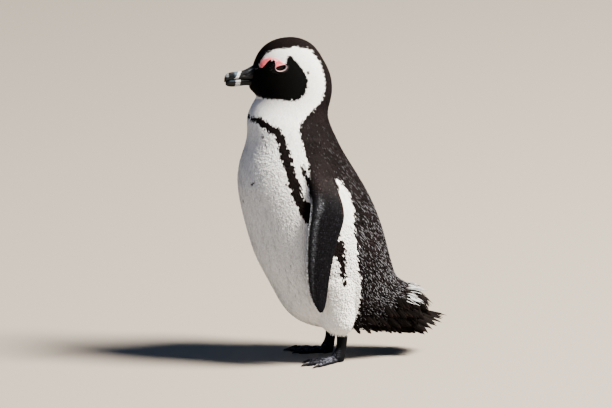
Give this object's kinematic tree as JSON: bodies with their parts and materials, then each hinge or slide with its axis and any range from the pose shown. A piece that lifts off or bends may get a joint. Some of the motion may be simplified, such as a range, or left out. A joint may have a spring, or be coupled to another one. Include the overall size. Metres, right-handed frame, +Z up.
{
  "type": "african penguin",
  "caption": "Still, life-size African penguin standing at rest, head turned level, flippers hanging at its sides.",
  "frame": {"origin": "on the floor, under the middle of the bird's box", "axes": "+Z up, the bird looks along -Y, its left side is +X"},
  "size_m": [0.2066, 0.4186, 0.6038],
  "materials": {
    "black_plumage": "short dense black feathers",
    "white_plumage": "short dense white feathers, with the breeding bird's black band, cap and mask",
    "tail_plumage": "stiff brown-black tail feathers",
    "foot_skin": "dark grey scaled skin",
    "horn": "black grooved horn with a pale grey band on the bill",
    "eye": "wet, clear cornea over a dark brown iris"
  },
  "bodies": {
    "root": {"head": "black_plumage", "neck": "white_plumage", "trunk": "white_plumage", "tail": "tail_plumage", "flipper_left": "black_plumage", "flipper_right": "black_plumage", "leg_left": "white_plumage", "leg_right": "white_plumage", "foot_left": "foot_skin", "foot_right": "foot_skin", "claw_left_inner": "horn", "claw_left_middle": "horn", "claw_left_outer": "horn", "claw_right_inner": "horn", "claw_right_middle": "horn", "claw_right_outer": "horn", "bill_upper": "horn", "bill_lower": "horn", "eye_left": "eye", "eye_right": "eye"}
  },
  "joints": []
}
